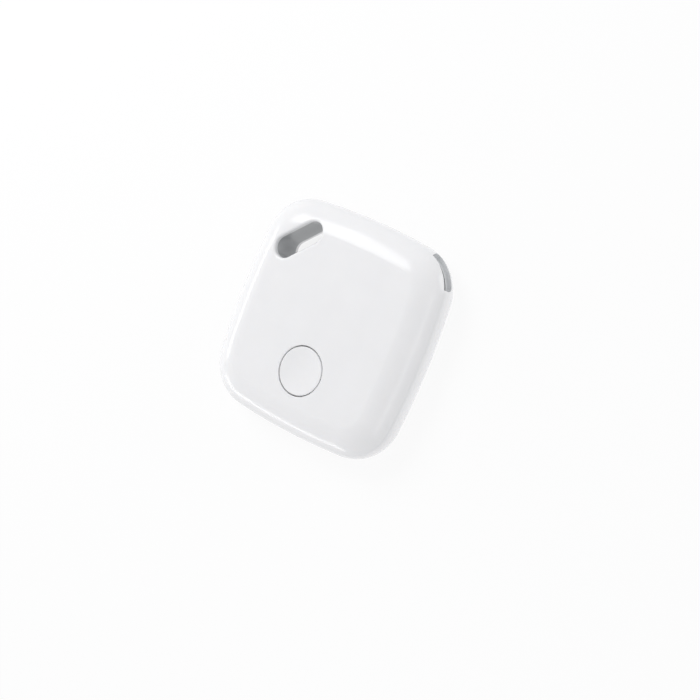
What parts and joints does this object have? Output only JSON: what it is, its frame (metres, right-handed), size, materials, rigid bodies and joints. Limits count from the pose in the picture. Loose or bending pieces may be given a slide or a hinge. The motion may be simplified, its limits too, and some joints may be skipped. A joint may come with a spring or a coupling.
{
  "type": "bluetooth tracker tag",
  "caption": "Small square item-finder tag with a keyring slot across one corner, a round dished push button, a pry notch, and a coin cell, board and buzzer inside.",
  "frame": {"origin": "middle of the flat back face, on the surface that the tag lies on", "axes": "+Z out of the front face, which is the shortest extent; +X and +Y along the sides, with the button near the -Y side, the keyring slot in the -X +Y corner and the pry notch in the +X +Y corner"},
  "size_m": [0.04, 0.04, 0.008],
  "materials": {
    "white_shell": "glossy moulded",
    "grey_liner": "satin moulded",
    "seal_silicone": "matte",
    "pad_foam": "fine cell foam",
    "cell_steel": "nickel plated",
    "cell_fill": "pressed powder",
    "cell_gasket": "moulded",
    "board_mask": "solder mask on glass laminate",
    "screw_steel": "zinc plated",
    "contact_gold": "gold plated",
    "chip_epoxy": "moulded epoxy",
    "can_metal": "nickel plated",
    "white_ceramic": "fired",
    "ferrite": "sintered",
    "capacitor_ceramic": "fired",
    "resistor_film": "glazed",
    "foam_tape": "matte",
    "buzzer_brass": "rolled",
    "buzzer_ceramic": "silvered",
    "switch_plastic": "moulded",
    "dome_steel": "rolled",
    "switch_steel": "pressed",
    "plunger_plastic": "moulded",
    "button_plastic": "glossy moulded",
    "button_silicone": "matte"
  },
  "bodies": {
    "back": {"back_cover": "white_shell", "seal_ring": "seal_silicone", "slot_liner": "grey_liner", "cell_pad": "pad_foam"},
    "cell": {"cell_can": "cell_steel", "cell_core": "cell_fill", "cell_gasket": "cell_gasket", "cell_cap": "cell_steel"},
    "front": {"front_shell": "white_shell", "main_board": "board_mask", "board_screws": "screw_steel", "negative_contact": "contact_gold", "positive_contact": "contact_gold", "radio_chip": "chip_epoxy", "fast_crystal": "can_metal", "slow_crystal": "can_metal", "chip_antenna": "white_ceramic", "boost_coil": "ferrite", "store_capacitor": "capacitor_ceramic", "small_capacitors": "capacitor_ceramic", "small_resistors": "resistor_film", "buzzer_tape": "foam_tape", "buzzer_plate": "buzzer_brass", "buzzer_ceramic": "buzzer_ceramic", "buzzer_springs": "contact_gold", "switch_base": "switch_plastic", "switch_dome": "dome_steel", "switch_cover": "switch_steel"},
    "button": {"button_cap": "button_plastic", "button_pad": "button_silicone"},
    "plunger": {"switch_plunger": "plunger_plastic"}
  },
  "joints": [
    {"name": "front_lift", "type": "slide", "parent": "back", "child": "front", "axis": [0, 0, 1], "range_m": [0, 0.028]},
    {"name": "cell_lift", "type": "slide", "parent": "back", "child": "cell", "axis": [0, 0, 1], "range_m": [0, 0.014]},
    {"name": "button_press", "type": "slide", "parent": "front", "child": "button", "axis": [0, 0, -1], "range_m": [0, 0.0002], "stiffness_N_per_m": 3000, "springref_m": -0.0002, "deforming": ["switch_dome"]},
    {"name": "plunger_press", "type": "slide", "parent": "front", "child": "plunger", "axis": [0, 0, -1], "range_m": [0, 0.0002]}
  ],
  "couplings": [
    {"joint": "cell_lift", "follows": "front_lift", "ratio": 0.5},
    {"joint": "plunger_press", "follows": "button_press", "ratio": 1}
  ]
}
